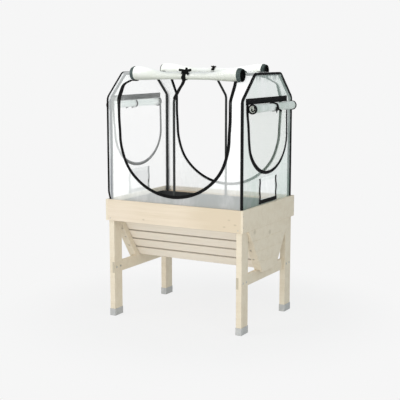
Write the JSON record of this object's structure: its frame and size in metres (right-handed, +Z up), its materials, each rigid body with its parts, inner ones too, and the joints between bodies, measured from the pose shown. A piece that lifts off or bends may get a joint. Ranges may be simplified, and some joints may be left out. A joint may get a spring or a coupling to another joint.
{
  "type": "raised planter with cover",
  "caption": "Raised V-shaped wooden trough planter on legs, with a lift-off clear film cover on tube hoops, rolled-up zip doors and rolled-up end windows.",
  "frame": {"origin": "on the ground, under the middle of the planter", "axes": "+X along the planter, +Y from the front door to the back door, +Z up"},
  "size_m": [1.0888, 0.7612, 1.643],
  "materials": {
    "timber": "opaque cream stain, matt",
    "foot_plastic": "matt grey",
    "liner_cloth": "dark felt",
    "fastener_steel": "zinc plated",
    "fitting_plastic": "matt black",
    "tube_steel": "dark coated tube",
    "film": "clear soft film",
    "binding_tape": "black woven tape",
    "mesh_cloth": "fine grey mesh",
    "webbing": "black webbing",
    "slider_metal": "black"
  },
  "bodies": {
    "planter": {"leg_front_left": "timber", "foot_front_left": "foot_plastic", "batten_front_left": "timber", "leg_front_right": "timber", "foot_front_right": "foot_plastic", "batten_front_right": "timber", "leg_back_left": "timber", "foot_back_left": "foot_plastic", "batten_back_left": "timber", "leg_back_right": "timber", "foot_back_right": "foot_plastic", "batten_back_right": "timber", "skirt_front": "timber", "skirt_back": "timber", "skirt_left": "timber", "skirt_right": "timber", "end_panel_left": "timber", "end_panel_right": "timber", "rail_left": "timber", "rail_right": "timber", "front_slats": "timber", "back_slats": "timber", "base_board": "timber", "liner": "liner_cloth", "fasteners": "fastener_steel", "post_sockets": "fitting_plastic"},
    "frame": {"hoop_left": "tube_steel", "hoop_mid": "tube_steel", "hoop_right": "tube_steel", "ridge_tubes": "tube_steel", "ridge_tees": "fitting_plastic"},
    "cover": {"film_front": "film", "film_back": "film", "film_roof": "film", "film_left": "film", "film_right": "film", "binding_left": "binding_tape", "binding_right": "binding_tape", "front_zip": "binding_tape", "back_zip": "binding_tape", "left_window_frame": "binding_tape", "right_window_frame": "binding_tape", "left_window_mesh": "mesh_cloth", "right_window_mesh": "mesh_cloth"},
    "front_door": {"front_door_roll": "film", "front_tie": "webbing"},
    "back_door": {"back_door_roll": "film", "back_tie": "webbing"},
    "left_window": {"left_window_roll": "film", "left_window_tie": "webbing"},
    "right_window": {"right_window_roll": "film", "right_window_tie": "webbing"},
    "left_access": {"left_flap": "film"},
    "right_access": {"right_flap": "film"},
    "front_zip_left": {"front_slider_left": "slider_metal"},
    "front_zip_right": {"front_slider_right": "slider_metal"},
    "back_zip_left": {"back_slider_left": "slider_metal"},
    "back_zip_right": {"back_slider_right": "slider_metal"}
  },
  "joints": [
    {"name": "frame_lift", "type": "slide", "parent": "planter", "child": "frame", "axis": [0, 0, 1], "range_m": [0, 0.12]},
    {"name": "cover_lift", "type": "slide", "parent": "frame", "child": "cover", "axis": [0, 0, 1], "range_m": [0, 0.88]},
    {"name": "front_door_swing", "type": "hinge", "parent": "cover", "child": "front_door", "pos_m": [0, -0.132, 1.597], "axis": [-1, 0, 0], "range_deg": [0, 140]},
    {"name": "back_door_swing", "type": "hinge", "parent": "cover", "child": "back_door", "pos_m": [0, 0.132, 1.597], "axis": [1, 0, 0], "range_deg": [0, 140]},
    {"name": "left_window_swing", "type": "hinge", "parent": "cover", "child": "left_window", "pos_m": [-0.4845, 0, 1.409], "axis": [0, 1, 0], "range_deg": [0, 75]},
    {"name": "right_window_swing", "type": "hinge", "parent": "cover", "child": "right_window", "pos_m": [0.4845, 0, 1.409], "axis": [0, -1, 0], "range_deg": [0, 75]},
    {"name": "left_flap_swing", "type": "hinge", "parent": "cover", "child": "left_access", "pos_m": [-0.4825, 0, 0.948], "axis": [0, 1, 0], "range_deg": [0, 110]},
    {"name": "right_flap_swing", "type": "hinge", "parent": "cover", "child": "right_access", "pos_m": [0.4825, 0, 0.948], "axis": [0, -1, 0], "range_deg": [0, 110]},
    {"name": "front_zip_left_slide", "type": "slide", "parent": "cover", "child": "front_zip_left", "axis": [0, 0, -1], "range_m": [0, 0.165]},
    {"name": "front_zip_right_slide", "type": "slide", "parent": "cover", "child": "front_zip_right", "axis": [0, 0, -1], "range_m": [0, 0.165]},
    {"name": "back_zip_left_slide", "type": "slide", "parent": "cover", "child": "back_zip_left", "axis": [0, 0, -1], "range_m": [0, 0.165]},
    {"name": "back_zip_right_slide", "type": "slide", "parent": "cover", "child": "back_zip_right", "axis": [0, 0, -1], "range_m": [0, 0.165]}
  ]
}
